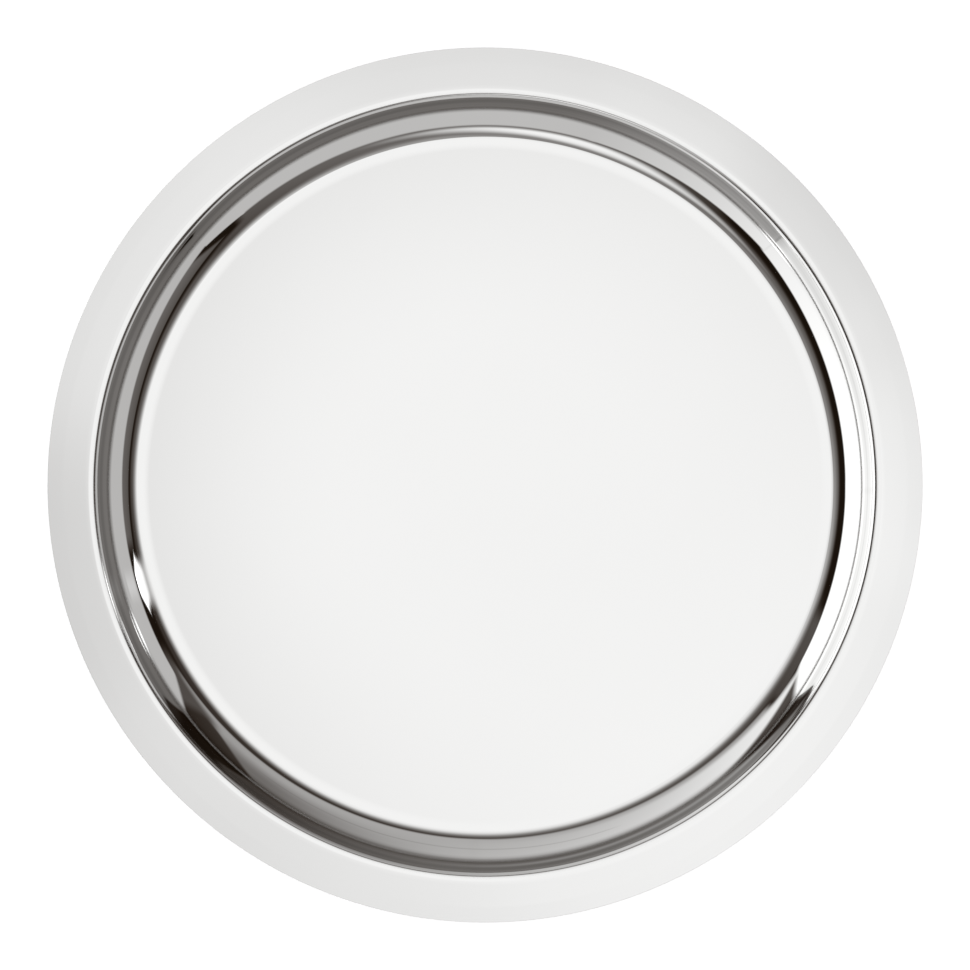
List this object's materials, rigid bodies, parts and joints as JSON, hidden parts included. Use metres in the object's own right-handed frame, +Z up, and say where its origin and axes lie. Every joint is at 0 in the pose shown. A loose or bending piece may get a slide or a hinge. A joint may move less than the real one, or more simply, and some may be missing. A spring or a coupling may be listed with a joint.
{
  "type": "round serving tray",
  "caption": "Round serving tray of mirror-polished sheet metal: flat floor, hollow cove, short steep wall and broad flat rim, on small round feet.",
  "frame": {"origin": "centre of the tray, on the plane that its feet stand on", "axes": "+Z up along the tray's axis; +X and +Y are two equal directions across it, halfway between feet"},
  "size_m": [0.4, 0.4, 0.0186],
  "materials": {
    "polished_steel": "mirror polished",
    "ring_steel": "satin",
    "clear_silicone": "matt"
  },
  "bodies": {
    "root": {"tray_pan": "polished_steel", "rim_ring": "ring_steel", "foot_1": "clear_silicone", "foot_2": "clear_silicone", "foot_3": "clear_silicone", "foot_4": "clear_silicone"}
  },
  "joints": []
}
